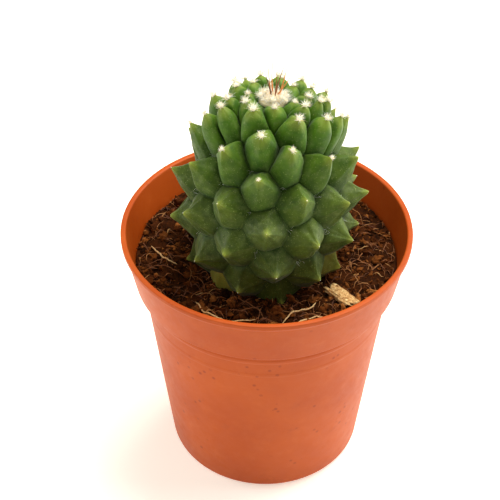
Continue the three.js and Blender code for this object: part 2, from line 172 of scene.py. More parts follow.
def tube(points, radii, sides):
    """A tube along points, with a radius at each, closed at both ends."""
    points = [Vector(p) for p in points]
    verts, faces = [], []
    side = (points[1] - points[0]).orthogonal().normalized()
    for i, point in enumerate(points):
        ahead = points[min(i + 1, len(points) - 1)] - points[max(i - 1, 0)]
        ahead.normalize()
        side = (side - ahead * side.dot(ahead)).normalized()
        other = ahead.cross(side)
        for k in range(sides):
            angle = 2 * math.pi * k / sides
            spoke = side * math.cos(angle) + other * math.sin(angle)
            verts.append(point + spoke * radii[i])
    for i in range(len(points) - 1):
        for k in range(sides):
            a, b = i * sides + k, i * sides + (k + 1) % sides
            faces.append((a, b, b + sides, a + sides))
    faces.append(tuple(range(sides - 1, -1, -1)))
    last = (len(points) - 1) * sides
    faces.append(tuple(range(last, last + sides)))
    return [tuple(v) for v in verts], faces


HAIR_TAPER = 0.85  # share of its radius that a hair loses towards its tip


def hair(root, direction, length, radius, bend, steps=3, sides=3):
    """A tapering hair that bends sideways by the vector bend at its tip."""
    points, radii = [], []
    for i in range(steps + 1):
        t = i / steps
        points.append(root + direction * (length * t) + bend * (t * t))
        radii.append(radius * (1 - HAIR_TAPER * t))
    return tube(points, radii, sides)


def ball(level):
    """The points and triangles of an icosphere of radius 1."""
    bm = bmesh.new()
    bmesh.ops.create_icosphere(bm, subdivisions=level, radius=1)
    verts = np.array([v.co[:] for v in bm.verts])
    faces = [tuple(v.index for v in f.verts) for f in bm.faces]
    bm.free()
    return verts, faces


BALLS = {level: ball(level) for level in (2, 3)}


def scatter(rng, amount):
    """A random vector, about this long along each axis."""
    return Vector([rng.gauss(0, amount) for _ in range(3)])


def tint_near(rng, middle, spread):
    return min(1, max(0, rng.gauss(middle, spread)))


NOISE_SPAN = 50  # half the width of the noise that lumps are taken from


def lump(rng, centre, size, turn, level, rough):
    """A rough lump: a ball stretched to size, turned and pushed about by noise."""
    verts, faces = BALLS[level]
    shift = Vector([rng.uniform(-NOISE_SPAN, NOISE_SPAN) for _ in range(3)])
    out = []
    for v in verts:
        push = 1 + rough * noise.noise(Vector(v) * 1.4 + shift)
        p = Vector((v[0] * size[0], v[1] * size[1], v[2] * size[2])) * push
        out.append(tuple(turn @ p + centre))
    return out, faces


def random_turn(rng):
    axis = scatter(rng, 1)
    return Quaternion(axis, rng.uniform(0, 2 * math.pi)).to_matrix()


def radial(azimuth, radius, height=0.0):
    """A point by azimuth (0 faces -Y, positive towards +X), radius and height."""
    return Vector((radius * math.sin(azimuth), -radius * math.cos(azimuth), height))


# ---- material helpers


def new_material(name):
    material = bpy.data.materials.new(name)
    material.use_nodes = True
    tree = material.node_tree
    return material, tree, tree.nodes["Principled BSDF"]


def set_inputs(tree, node, inputs):
    """Sets a node's inputs, each to a plain value or to what another node gives."""
    for key, value in inputs.items():
        if hasattr(value, "is_output"):
            tree.links.new(value, node.inputs[key])
        else:
            node.inputs[key].default_value = value


def add_node(tree, kind, inputs=None, **settings):
    made = tree.nodes.new(kind)
    for key, value in settings.items():
        setattr(made, key, value)
    set_inputs(tree, made, inputs or {})
    return made


def linear(red, green, blue):
    """A screen colour of 0 to 255 as the linear colour that a shader takes."""
    channels = []
    for c in (red / 255, green / 255, blue / 255):
        channels.append(c / 12.92 if c <= 0.04045 else ((c + 0.055) / 1.055) ** 2.4)
    return (*channels, 1)


def ramp(tree, value, stops):
    """A colour ramp through (position, colour) stops."""
    made = add_node(tree, "ShaderNodeValToRGB", {"Fac": value})
    row = made.color_ramp.elements
    row[0].position, row[0].color = stops[0]
    row[1].position, row[1].color = stops[-1]
    for position, colour in stops[1:-1]:
        row.new(position).color = colour
    return made.outputs["Color"]


def grey(level):
    return (level, level, level, 1)


def mix(tree, amount, first, second):
    """A colour between the first (amount 0) and the second (amount 1)."""
    inputs = {0: amount, 6: first, 7: second}
    return add_node(tree, "ShaderNodeMix", inputs, data_type="RGBA").outputs[2]


def math_node(tree, operation, first, second, clamp=False):
    inputs = {0: first, 1: second}
    made = add_node(tree, "ShaderNodeMath", inputs, operation=operation, use_clamp=clamp)
    return made.outputs[0]


def around_zero(tree, value, amount):
    """Noise of 0 to 1 as a shift of up to half this amount either way."""
    inputs = {0: value, 1: amount, 2: -amount / 2}
    return add_node(tree, "ShaderNodeMath", inputs, operation="MULTIPLY_ADD").outputs[0]


def mark(tree, label):
    """The value that a mesh's points carry under this label."""
    return add_node(tree, "ShaderNodeAttribute", attribute_name=label).outputs["Fac"]


def place(tree):
    """Where a point lies on its piece, in metres."""
    return add_node(tree, "ShaderNodeTexCoord").outputs["Object"]


def clouds(tree, size, detail=4, roughness=0.55, where=None):
    """Noise whose blobs are about this many millimetres across."""
    where = where or place(tree)
    inputs = {"Vector": where, "Scale": 1 / (size * MM), "Detail": detail, "Roughness": roughness}
    return add_node(tree, "ShaderNodeTexNoise", inputs).outputs["Fac"]


def cells(tree, size):
    """How far a point is from the nearest of scattered spots about size apart."""
    inputs = {"Vector": place(tree), "Scale": 1 / (size * MM)}
    return add_node(tree, "ShaderNodeTexVoronoi", inputs).outputs["Distance"]


def bump(tree, shader, height, depth, strength, below=None):
    """Relief of this depth, on top of the relief below it."""
    inputs = {"Height": height, "Distance": depth * MM, "Strength": strength}
    if below:
        inputs["Normal"] = below
    made = add_node(tree, "ShaderNodeBump", inputs).outputs["Normal"]
    tree.links.new(made, shader.inputs["Normal"])
    return made


# ---- pot


def pot_material():
    material, tree, shader = new_material("pot_plastic")
    worn = clouds(tree, 26, 3)
    base = ramp(tree, worn, [(0.35, linear(168, 68, 10)), (0.65, linear(180, 78, 16))])
    dust = ramp(tree, clouds(tree, 5, 8, 0.7), [(0.52, grey(0)), (0.8, grey(0.2))])
    dusty = mix(tree, dust, base, linear(206, 112, 52))
    specks = ramp(tree, cells(tree, 2.9), [(0.12, grey(0.6)), (0.26, grey(0))])
    few = ramp(tree, clouds(tree, 14, 2), [(0.57, grey(0)), (0.63, grey(1))])
    dirt = math_node(tree, "MULTIPLY", specks, few)
    smears = ramp(tree, clouds(tree, 9, 7, 0.75), [(0.6, grey(0)), (0.74, grey(0.4))])
    dusty = mix(tree, smears, dusty, linear(132, 50, 18))
    colour = mix(tree, dirt, dusty, linear(116, 36, 10))
    tree.links.new(colour, shader.inputs["Base Color"])
    shine = ramp(tree, clouds(tree, 3, 6, 0.7), [(0.3, grey(0.42)), (0.7, grey(0.55))])
    set_inputs(tree, shader, {
        "Roughness": shine,
        "Specular IOR Level": 0.2,
    })
    grain = clouds(tree, 0.35, 3)
    waves = clouds(tree, 9, 2)
    below = bump(tree, shader, waves, 0.12, 0.6)
    bump(tree, shader, grain, 0.012, 0.5, below)
    return material


ARC_STEPS = 5
POT_SEGMENTS = 192
DRAIN_SEGMENTS = 32
DRAIN_CUT = 20  # the height of the tool that cuts a drain hole
LOW_RING = (0.69, 0.07)  # height as a share of the pot's, and how proud it stands
HIGH_RING = (0.762, 0.13)
RING_WIDTH = 0.9


def rounded(corners):
    """A polyline whose corners (x, y, radius) are rounded off by short curves."""
    out = []
    count = len(corners)
    for i, (x, y, radius) in enumerate(corners):
        here = Vector((x, y))
        if radius == 0 or i in (0, count - 1):
            out.append((x, y))
            continue
        before = Vector(corners[i - 1][:2]) - here
        after = Vector(corners[i + 1][:2]) - here
        reach = min(radius, before.length / 2.2, after.length / 2.2)
        start, end = here + before.normalized() * reach, here + after.normalized() * reach
        for k in range(ARC_STEPS + 1):
            t = k / ARC_STEPS
            out.append(tuple(start * (1 - t) ** 2 + here * 2 * t * (1 - t) + end * t * t))
    return out


def ring_line(share, proud, lower, upper):
    """Corners of a low moulded ring on the straight wall between two (r, z) points."""
    height = POT_HEIGHT * share
    half = RING_WIDTH / 2
    corners = []
    for dz, out in ((-RING_WIDTH, 0), (-half, proud), (half, proud), (RING_WIDTH, 0)):
        t = (height + dz - lower[1]) / (upper[1] - lower[1])
        radius = lower[0] + (upper[0] - lower[0]) * t
        corners.append((radius + out, height + dz, 0.3))
    return corners


def pot_outline():
    ledge = POT_HEIGHT - COLLAR_HEIGHT
    collar_top = RIM_RADIUS - LIP_OVERHANG
    collar_bottom = collar_top - COLLAR_DRAFT
    body_top = collar_bottom - LEDGE_WIDTH
    floor_top = FLOOR_LIFT + FLOOR_THICKNESS
    foot_inner = BASE_RADIUS - BASE_CHAMFER - FOOT_WIDTH
    low, high = (BASE_RADIUS, BASE_CHAMFER), (body_top, ledge - LEDGE_DROP)
    return rounded([
        (0, FLOOR_LIFT, 0),
        (foot_inner - FLOOR_LIFT, FLOOR_LIFT, 0.6),
        (foot_inner, 0, 0.3),
        (BASE_RADIUS - BASE_CHAMFER, 0, 0.6),
        (*low, 1.2),
        *ring_line(*LOW_RING, low, high),
        *ring_line(*HIGH_RING, low, high),
        (*high, 0.5),
        (collar_bottom, ledge, 0.5),
        (collar_top, POT_HEIGHT - LIP_DROP - LIP_OVERHANG, 0.5),
        (RIM_RADIUS, POT_HEIGHT - LIP_DROP, 0.35),
        (RIM_RADIUS, POT_HEIGHT, 0.3),
        (RIM_RADIUS - RIM_WIDTH, POT_HEIGHT, 0.5),
        (collar_bottom - WALL, ledge + WALL, 0.6),
        (body_top - WALL, ledge + WALL - LEDGE_DROP, 0.6),
        (BASE_RADIUS - WALL, floor_top + BASE_CHAMFER, 1),
        (BASE_RADIUS - WALL - BASE_CHAMFER, floor_top, 0.6),
        (0, floor_top, 0),
    ])


def turned(outline, segments):
    """Turns an outline of (r, z), which starts and ends on the axis, about Z."""
    verts = [(0, 0, outline[0][1])]
    for r, z in outline[1:-1]:
        for k in range(segments):
            angle = 2 * math.pi * k / segments
            verts.append((r * math.cos(angle), r * math.sin(angle), z))
    verts.append((0, 0, outline[-1][1]))
    rows = len(outline) - 2
    faces = []
    for k in range(segments):
        after = (k + 1) % segments
        faces.append((0, 1 + after, 1 + k))
        for i in range(rows - 1):
            a, b = 1 + i * segments + k, 1 + i * segments + after
            faces.append((a, b, b + segments, a + segments))
        last = 1 + (rows - 1) * segments
        faces.append((last + k, last + after, len(verts) - 1))
    return verts, faces


def drain_cutter():
    """A rod for each drain hole: one ring of them, and one in the middle."""
    bm = bmesh.new()
    for i in range(DRAIN_COUNT + 1):
        angle = 2 * math.pi * i / DRAIN_COUNT
        reach = 0 if i == DRAIN_COUNT else DRAIN_CIRCLE * MM
        centre = Matrix.Translation((reach * math.cos(angle), reach * math.sin(angle), 0))
        size = DRAIN_RADIUS * MM
        bmesh.ops.create_cone(
            bm, cap_ends=True, segments=DRAIN_SEGMENTS, radius1=size, radius2=size,
            depth=DRAIN_CUT * MM, matrix=centre,
        )
    mesh = bpy.data.meshes.new("drain_cutter")
    bm.to_mesh(mesh)
    bm.free()
    cutter = bpy.data.objects.new("drain_cutter", mesh)
    bpy.context.scene.collection.objects.link(cutter)
    return cutter


def cut(piece, cutter):
    """Cuts one object out of another and deletes the cutter."""
    knife = piece.modifiers.new("cut", "BOOLEAN")
    knife.operation, knife.object, knife.solver = "DIFFERENCE", cutter, "EXACT"
    graph = bpy.context.evaluated_depsgraph_get()
    mesh = bpy.data.meshes.new_from_object(piece.evaluated_get(graph))
    piece.modifiers.clear()
    piece.data = mesh
    bpy.data.objects.remove(cutter)


def make_pot():
    verts, faces = turned(pot_outline(), POT_SEGMENTS)
    piece = make_piece("pot_shell", verts, faces, pot_material(), "pot_plastic", ["pot"])
    cut(piece, drain_cutter())


# ---- plant: outline and map


def smooth_curve(points, steps):
    """A Catmull-Rom curve through the points, as an array."""
    p = np.array(points, float)
    out = []
    for i in range(len(p) - 1):
        a, b, c, d = p[max(i - 1, 0)], p[i], p[i + 1], p[min(i + 2, len(p) - 1)]
        for t in np.linspace(0, 1, steps, endpoint=False):
            row = 2 * b + (c - a) * t + (2 * a - 5 * b + 4 * c - d) * t**2
            out.append((row + (3 * b - a - 3 * c + d) * t**3) / 2)
    out.append(p[-1])
    return np.array(out)


CORE_STEPS = 70  # between two rows of CORE_OUTLINE
NORMAL_STEP = 0.02
AXIS_STEP = 0.1
PATCH_REACH = 2  # how far a patch may reach to either side, on the flat map
NEIGHBOUR_AGES = 34  # tubercles further apart than this never touch

# The flat map is azimuth against stretch: length along the core divided by its radius.
core = smooth_curve(CORE_OUTLINE, CORE_STEPS) * (CORE_RADIUS, CORE_HEIGHT)
steps_along = np.hypot(*np.diff(core, axis=0).T)
core_length = np.concatenate([[0], np.cumsum(steps_along)])
step_stretch = 2 * steps_along / (core[1:, 0] + core[:-1, 0])
core_stretch = np.concatenate([[0], np.cumsum(step_stretch)])


def stage_of(age, column):
    """One column of the growth table at a tubercle's number."""
    return float(np.interp(age, GROWTH_STAGES[:, 0], GROWTH_STAGES[:, column]))


def stretch_at(age):
    return float(np.interp(stage_of(age, PLACE) * core_length[-1], core_length, core_stretch))


def core_point(azimuth, stretch):
    radius = float(np.interp(stretch, core_stretch, core[:, 0]))
    height = float(np.interp(stretch, core_stretch, core[:, 1]))
    return radial(azimuth, radius, height)


def core_normal(azimuth, stretch):
    above = core_point(azimuth, stretch - NORMAL_STEP)
    below = core_point(azimuth, stretch + NORMAL_STEP)
    across = Vector((math.cos(azimuth), math.sin(azimuth), 0))
    return across.cross(above - below).normalized()


crown_stretch = stretch_at(FIRST_TUBERCLE - 1)
neck_stretch = float(core_stretch[-1])
soil_at_plant = SOIL_LEVEL - SOIL_DIP


def placed(point):
    """Sets a point of the upright plant into the soil, on a stem that bends back."""
    bent = max(0, point.z / CORE_HEIGHT)
    right = math.radians(LEAN_RIGHT)
    back = math.radians(BEND_BACK * bent - LEAN_FRONT)
    mean_back = math.radians(BEND_BACK * bent / 2 - LEAN_FRONT)
    return Vector((
        PLANT_X + point.z * right + point.x * math.cos(right),
        PLANT_Y + point.z * mean_back + point.y * math.cos(back),
        soil_at_plant + point.z - point.x * math.sin(right) - point.y * math.sin(back),
    ))


def placed_axis(at, direction):
    """A direction at a point of the upright plant, once the plant stands in the soil."""
    return (placed(at + direction.normalized() * AXIS_STEP) - placed(at)).normalized()


class Tubercle:
    """One tubercle: where it stands, where it points and the patch of skin it owns."""

    def __init__(self, age):
        self.age = age
        self.azimuth = math.radians(FIRST_AZIMUTH - DIVERGENCE * age + CROWDED.get(age, 0))
        self.stretch = stretch_at(age)
        self.fullness = stage_of(age, FULLNESS)
        rise = math.radians(stage_of(age, RISE))
        self.axis = radial(self.azimuth, math.cos(rise), math.sin(rise))
        self.normal = core_normal(self.azimuth, self.stretch)
        self.foot = core_point(self.azimuth, self.stretch)
        self.length = TUBERCLE_LENGTH * stage_of(age, LENGTH)
        self.tip = self.foot + self.axis * self.length


def clip_nearer(polygon, a, b):
    """Keeps the part of a flat polygon that lies nearer to a than to b."""
    nx, ny = b[0] - a[0], b[1] - a[1]
    limit = (b[0] ** 2 + b[1] ** 2 - a[0] ** 2 - a[1] ** 2) / 2
    kept = []
    for i, p in enumerate(polygon):
        q = polygon[(i + 1) % len(polygon)]
        dp, dq = p[0] * nx + p[1] * ny - limit, q[0] * nx + q[1] * ny - limit
        if dp <= 0:
            kept.append(p)
        if (dp <= 0) != (dq <= 0):
            t = dp / (dp - dq)
            kept.append((p[0] + (q[0] - p[0]) * t, p[1] + (q[1] - p[1]) * t))
    return kept


def patch_of(one, everyone):
    """The patch of the flat map that is nearer to this tubercle than to any other."""
    here = (one.azimuth, one.stretch)
    left, right = here[0] - PATCH_REACH, here[0] + PATCH_REACH
    polygon = [
        (left, crown_stretch),
        (left, neck_stretch),
        (right, neck_stretch),
        (right, crown_stretch),
    ]
    for other in everyone:
        if other is one or abs(other.age - one.age) > NEIGHBOUR_AGES:
            continue
        turns = round((here[0] - other.azimuth) / (2 * math.pi))
        for extra in (-1, 0, 1):
            azimuth = other.azimuth + (turns + extra) * 2 * math.pi
            polygon = clip_nearer(polygon, here, (azimuth, other.stretch))
    return polygon


# ---- plant: fine skin

RINGS = 20  # levels of a tubercle
CREASE_STEP = 0.7  # millimetres between points along a crease
SADDLE = 1.2  # how high a crease rises halfway between two corners
SAME = 1e-6  # two places on the flat map this close are one
NOSE_WIDTH = 0.24  # share of a tubercle's width
TURN_SHARE = 0.75  # how far a tubercle's levels turn from the skin to its own axis
KEEL_START = 3  # the keels are at their full depth above a third of the height
ROOT_LEVELS = 8
WELD = 0.003  # points this close become one

# Two tubercle numbers, and what holds up to the first and from the second.
ROUNDING = ((30, 55), (0.4, 0.05))  # how round its section gets near the tip
NOSE = ((30, 60), (0.08, 0.27))  # share of its length taken by the blunt nose
KEEL = ((26, 50), (0.15, 0.75))  # how deep the hollows between its keels are


def crease_around(polygon):
    """Points of the crease around a patch: corners low, a saddle between them."""
    points = []
    for i, p in enumerate(polygon):
        q = polygon[(i + 1) % len(polygon)]
        span = (core_point(*p) - core_point(*q)).length
        at_end = min(p[1] - crown_stretch, neck_stretch - p[1]) < SAME
        level = abs(p[1] - q[1]) < SAME and at_end
        rise = 0 if level else SADDLE * min(1, span / TUBERCLE_LENGTH)
        count = max(1, round(span / CREASE_STEP))
        for j in range(count):
            t = j / count
            u, v = p[0] + (q[0] - p[0]) * t, p[1] + (q[1] - p[1]) * t
            point = core_point(u, v)
            if j and rise:
                point += core_normal(u, v) * (rise * math.sin(math.pi * t))
            edge = "crown" if v - crown_stretch < SAME else ""
            edge = "neck" if neck_stretch - v < SAME else edge
            points.append((point, edge))
    return points


def tubercle_rings(one, crease):
    """The levels of a tubercle from its crease to just under its tip, with their lift."""
    arms = [p - one.foot for p in crease]
    mean = sum(a.length for a in arms) / len(arms)
    tilt = one.normal.rotation_difference(one.axis)
    inward = Vector((-math.sin(one.azimuth), math.cos(one.azimuth), 0))
    sideways = one.normal.cross(inward)
    flat = [Vector((a.dot(inward), a.dot(sideways))) for a in arms]
    keels = [a.length / (abs(a.x) + abs(a.y)) for a in flat]
    rounding, nose, keel = (float(np.interp(one.age, *rule)) for rule in (ROUNDING, NOSE, KEEL))
    rings = []
    for level in range(1, RINGS + 1):
        angle = level / (RINGS + 1) * math.pi / 2
        share = math.cos(angle) ** (2 / one.fullness)
        lift = math.sin(angle) ** (2 / one.fullness)
        lift = (1 - nose) * lift + nose * math.exp(-((share / NOSE_WIDTH) ** 2))
        middle = one.foot + one.axis * (one.length * lift)
        turn = Quaternion().slerp(tilt, TURN_SHARE * lift)
        ring = []
        for arm, ridge in zip(arms, keels):
            size = arm.length + (mean - arm.length) * rounding * lift
            size *= 1 - keel * (1 - ridge) * min(1, lift * KEEL_START)
            ring.append(middle + (turn @ arm.normalized()) * (size * share))
        rings.append((ring, lift))
    return rings


class Skin:
    """The plant's surface while it is put together."""

    def __init__(self):
        self.verts, self.faces = [], []
        self.marks = {"lift": [], "age": [], "faded": []}

    def row(self, points, lift, age, faded=0.0):
        """Adds points with their marks and returns their numbers."""
        start = len(self.verts)
        self.verts.extend(points)
        for label, value in (("lift", lift), ("age", age), ("faded", faded)):
            self.marks[label].extend([value] * len(points))
        return list(range(start, start + len(points)))

    def band(self, lower, upper):
        for i in range(len(lower)):
            j = (i + 1) % len(lower)
            self.faces.append((lower[i], lower[j], upper[j], upper[i]))

    def fan(self, ring, centre):
        for i in range(len(ring)):
            self.faces.append((ring[i], ring[(i + 1) % len(ring)], centre))


def sorted_loop(points):
    """The points of a level edge once each, in order of azimuth."""
    ordered = sorted(points, key=lambda p: math.atan2(p.y, p.x))
    return [p for i, p in enumerate(ordered) if (p - ordered[i - 1]).length > 1e-3]


def add_root(skin, neck):
    """The root, from the edge of the neck down to its point."""
    above = skin.row(neck, 0, 1)
    for level in range(1, ROOT_LEVELS):
        t = level / ROOT_LEVELS
        narrow = 1 - t**ROOT_TAPER
        ring = [Vector((p.x * narrow, p.y * narrow, -ROOT_DEPTH * t)) for p in neck]
        below = skin.row(ring, 0, 1)
        skin.band(below, above)
        above = below
    skin.fan(above[::-1], skin.row([Vector((0, 0, -ROOT_DEPTH))], 0, 1)[0])


FADED = {80: 0.35, 86: 0.6}  # tubercles, by number, that have turned yellow, and how much


def grow_skin(tubercles):
    """The whole upright plant: every tubercle, the crown's floor and the root."""
    skin = Skin()
    crown, neck = [], []
    for one in tubercles:
        crease = crease_around(patch_of(one, tubercles))
        crown += [p for p, edge in crease if edge == "crown"]
        neck += [p for p, edge in crease if edge == "neck"]
        age, faded = one.age / TUBERCLE_COUNT, FADED.get(one.age, 0)
        points = [p for p, edge in crease]
        below = skin.row(points, 0, age, faded)
        for ring, lift in tubercle_rings(one, points):
            here = skin.row(ring, lift, age, faded)
            skin.band(below, here)
            below = here
        skin.fan(below, skin.row([one.tip], 1, age, faded)[0])
    top = skin.row(sorted_loop(crown), 0, 0)
    skin.fan(top, skin.row([core_point(0, 0)], 0, 0)[0])
    add_root(skin, sorted_loop(neck))
    return skin


SWELL_DEPTH, SWELL_SIZE = 0.22, 5
WRINKLE_DEPTH, WRINKLE_SIZE = 0.05, 1.3
WRINKLE_SHIFT = Vector((9, 2, 4))


def roughen(mesh):
    """Uneven growth: slow swells and small wrinkles along the normals."""
    normals = [v.normal.copy() for v in mesh.vertices]
    for v, normal in zip(mesh.vertices, normals):
        p = v.co / MM
        push = SWELL_DEPTH * noise.noise(p / SWELL_SIZE)
        push += WRINKLE_DEPTH * noise.noise(p / WRINKLE_SIZE + WRINKLE_SHIFT)
        v.co += normal * (push * MM)


def cactus_material():
    material, tree, shader = new_material("cactus_skin")
    lift, age, faded = mark(tree, "lift"), mark(tree, "age"), mark(tree, "faded")
    patchy = clouds(tree, 5, 6, 0.65)
    young = ramp(tree, patchy, [(0.32, linear(44, 82, 2)), (0.68, linear(76, 114, 10))])
    old = ramp(tree, patchy, [(0.32, linear(46, 64, 6)), (0.68, linear(82, 100, 22))])
    aged = ramp(tree, age, [(0.35, grey(0)), (0.65, grey(1))])
    green = mix(tree, aged, young, old)
    # Painted shade: the skin low on each tubercle, down in the creases between them, is darkened
    # to a deep green.
    low = ramp(tree, lift, [(0.0, grey(0.75)), (0.14, grey(0.35)), (0.45, grey(0))])
    green = mix(tree, low, green, linear(30, 58, 6))
    bloom = ramp(tree, clouds(tree, 2.4, 6, 0.7), [(0.5, grey(0)), (0.72, grey(0.4))])
    green = mix(tree, bloom, green, linear(112, 126, 74))
    # Painted shade at the plant's foot: the oldest, lowest tubercles are darkened to a near-black
    # green.
    foot_shade = ramp(tree, age, [(0.78, grey(0)), (1, grey(0.6))])
    green = mix(tree, foot_shade, green, linear(26, 44, 4))
    # Painted highlight: the upper part of each tubercle, towards its tip, is lightened to a pale
    # green.
    tip_highlight = ramp(tree, lift, [(0.72, grey(0)), (0.92, grey(0.45)), (1, grey(0.9))])
    green = mix(tree, tip_highlight, green, linear(140, 152, 56))
    yellow = mix(tree, clouds(tree, 4, 3), linear(84, 104, 20), linear(176, 160, 62))
    green = mix(tree, faded, green, yellow)
    dots = ramp(tree, cells(tree, 0.42), [(0.12, grey(0.75)), (0.3, grey(0))])
    some = ramp(tree, clouds(tree, 1.1, 3), [(0.42, grey(0)), (0.62, grey(1))])
    speckled = mix(tree, math_node(tree, "MULTIPLY", dots, some), green, linear(150, 166, 96))
    tree.links.new(speckled, shader.inputs["Base Color"])
    shine = ramp(tree, clouds(tree, 1.5, 4), [(0.3, grey(0.5)), (0.7, grey(0.66))])
    set_inputs(tree, shader, {
        "Roughness": shine,
        "Specular IOR Level": 0.22,
        "Subsurface Weight": 0.12,
        "Subsurface Radius": (0.6 * MM, 1.2 * MM, 0.3 * MM),
        "Sheen Weight": 0.05,
    })
    pores = cells(tree, 0.3)
    below = bump(tree, shader, clouds(tree, 1.8, 5), 0.18, 0.5)
    bump(tree, shader, pores, 0.03, 0.5, below)
    return material


def make_cactus(tubercles):
    skin = grow_skin(tubercles)
    verts = [tuple(placed(v)) for v in skin.verts]
    piece = make_piece(
        "cactus_body", verts, skin.faces, cactus_material(), "cactus_skin", ["cactus"],
        marks=skin.marks,
    )
    bm = bmesh.new()
    bm.from_mesh(piece.data)
    bmesh.ops.remove_doubles(bm, verts=bm.verts, dist=WELD * MM)
    bmesh.ops.recalc_face_normals(bm, faces=bm.faces)
    bm.to_mesh(piece.data)
    bm.free()
    roughen(piece.data)


# ---- wool and spines

TUFT_STAGES = [(6, 0.5), (11, 0.8), (18, 1), (31, 0.8), (44, 0.4)]  # number and size
TUFT_RADIUS = 1.9
THIN_HAIR, THICK_HAIR = 0.035, 0.06
AXIL_AGES = range(26, 65)  # tubercles with wool in the axil below them


def wool_material():
    material, tree, shader = new_material("wool")
    tone = ramp(tree, mark(tree, "tint"), [
        (0, linear(224, 190, 112)),
        (0.35, linear(248, 234, 200)),
        (0.7, linear(255, 255, 248)),
    ])
    set_inputs(tree, shader, {
        "Base Color": tone,
        "Roughness": 0.9,
        "Subsurface Weight": 0.3,
        "Subsurface Radius": (MM, MM, MM),
        "Sheen Weight": 0.3,
    })
    return material


def add_star(heap, rng, root, axis, radius, count, spread=1.5):
    """A tuft: fine hairs in all directions around the axis, over a felted middle."""
    turn = Vector((0, 0, 1)).rotation_difference(axis).to_matrix()
    size = (radius * 0.42, radius * 0.42, radius * 0.3)
    heap.add(*lump(rng, root + axis * radius * 0.12, size, turn, 2, 0.35), tint=0.45)
    for _ in range(count):
        polar = spread * rng.random() ** 0.6
        around = rng.uniform(0, 2 * math.pi)
        ahead = Vector((math.sin(polar) * math.cos(around), math.sin(polar) * math.sin(around), 0))
        ahead.z = math.cos(polar)
        ahead = turn @ ahead
        length = radius * rng.uniform(0.65, 1.1)
        bend = scatter(rng, 0.12 * radius)
        start = root + ahead * radius * 0.15
        strand = hair(start, ahead, length, rng.uniform(THIN_HAIR, THICK_HAIR), bend)
        heap.add(*strand, tint=rng.random())


def tuft_size(age):
    return TUFT_RADIUS * float(np.interp(age, *zip(*TUFT_STAGES)))


def make_tufts(tubercles, material):
    woolly = [t for t in tubercles if t.age <= LAST_TUFT]
    for number, one in enumerate(woolly, 1):
        rng = random.Random(100 + one.age)
        heap = Heap()
        radius = tuft_size(one.age)
        count = int(50 + 60 * radius / TUFT_RADIUS)
        add_star(heap, rng, placed(one.tip), placed_axis(one.tip, one.axis), radius, count)
        name = f"wool_star_{number:02d}"
        heap.piece(name, material, "wool", replaces=[f"wool_tuft_{number:02d}"])


def make_old_areoles(tubercles, material):
    """The worn-down felt and few hairs left on the older tubercles' tips."""
    heap = Heap()
    rng = random.Random(7)
    for one in tubercles:
        if one.age <= LAST_TUFT:
            continue
        radius = rng.uniform(0.2, 0.36)
        count = rng.choice((1, 2, 3, 6))
        axis = placed_axis(one.tip, one.axis)
        add_star(heap, rng, placed(one.tip) - axis * 0.1, axis, radius, count, 1.2)
    heap.piece("areole_felt", material, "wool")


def make_axil_wool(tubercles, material):
    """Wisps of wool in the lowest corner of the creases around the middle tubercles."""
    heap = Heap()
    rng = random.Random(11)
    for one in tubercles:
        if one.age not in AXIL_AGES:
            continue
        corners = patch_of(one, tubercles)
        lowest = max(corners, key=lambda c: c[1])
        normal = core_normal(*lowest)
        root = core_point(*lowest) + normal * 0.3
        for _ in range(rng.choice((2, 4, 6, 9))):
            ahead = normal + scatter(rng, 0.5)
            start = root + scatter(rng, 0.5)
            bend = scatter(rng, 0.3)
            length = rng.uniform(0.7, 1.7)
            strand = hair(placed(start), placed_axis(start, ahead), length, THIN_HAIR, bend)
            heap.add(*strand, tint=rng.uniform(0.5, 1))
    heap.piece("axil_wool", material, "wool")


CROWN_WOOL_RADIUS = 4.4
CROWN_WOOL_HEIGHT = 3.4
CROWN_HAIRS = 600
CROWN_CLUMPS = 9


def make_crown_wool(material):
    """The cushion: a felted middle, loose hairs over it and a ring of clumps around it."""
    heap = Heap()
    rng = random.Random(21)
    middle = Vector((0, 0, CORE_HEIGHT))
    size = (CROWN_WOOL_RADIUS * 0.75, CROWN_WOOL_RADIUS * 0.75, CROWN_WOOL_HEIGHT * 0.6)
    lean = placed_axis(middle, Vector((0, 0, 1)))
    turn = Vector((0, 0, 1)).rotation_difference(lean).to_matrix()
    heap.add(*lump(rng, placed(middle), size, turn, 3, 0.45), tint=0.25)
    for _ in range(CROWN_HAIRS):
        distance = 0.9 * CROWN_WOOL_RADIUS * math.sqrt(rng.random())
        around = rng.uniform(0, 2 * math.pi)
        dome = math.sqrt(max(0, 1 - (distance / CROWN_WOOL_RADIUS) ** 2))
        root = middle + radial(around, distance, CROWN_WOOL_HEIGHT * 0.55 * dome)
        ahead = radial(around, 0.25 + distance / CROWN_WOOL_RADIUS, 0.9)
        ahead += scatter(rng, 0.5)
        bend = scatter(rng, 0.25)
        length = rng.uniform(0.8, 2.3)
        axis = placed_axis(root, ahead)
        strand = hair(placed(root), axis, length, rng.uniform(THIN_HAIR, THICK_HAIR), bend)
        heap.add(*strand, tint=min(1, rng.uniform(0, 0.6) + 0.5 * distance / CROWN_WOOL_RADIUS))
    for clump in range(CROWN_CLUMPS):
        around = math.radians(360 / CROWN_CLUMPS * clump + rng.uniform(-12, 12))
        distance = CROWN_WOOL_RADIUS * rng.uniform(0.5, 0.85)
        root = middle + radial(around, distance, CROWN_WOOL_HEIGHT * rng.uniform(0.35, 0.6))
        axis = placed_axis(root, radial(around, 0.6, 1))
        add_star(heap, rng, placed(root), axis, rng.uniform(1.3, 1.9), 70)
    heap.piece("crown_cushion", material, "wool", replaces=["crown_wool"])


CROWN_SPINES = [
    # azimuth, distance, tilt, tint (0 orange, 1 dark brown)
    (100, 1.9, 14, 0.1),
    (152, 1.6, 26, 0.9),
    (205, 2.1, 20, 0.15),
    (260, 1.5, 10, 0.3),
    (312, 2, 24, 1.0),
    (6, 1.7, 18, 0.6),
    (55, 2.2, 30, 0.05),
]
SPINE_LENGTH = 6.5
SPINE_RADIUS = 0.25
SPINE_SUNK = 2.2  # the part of a spine that is hidden in the wool


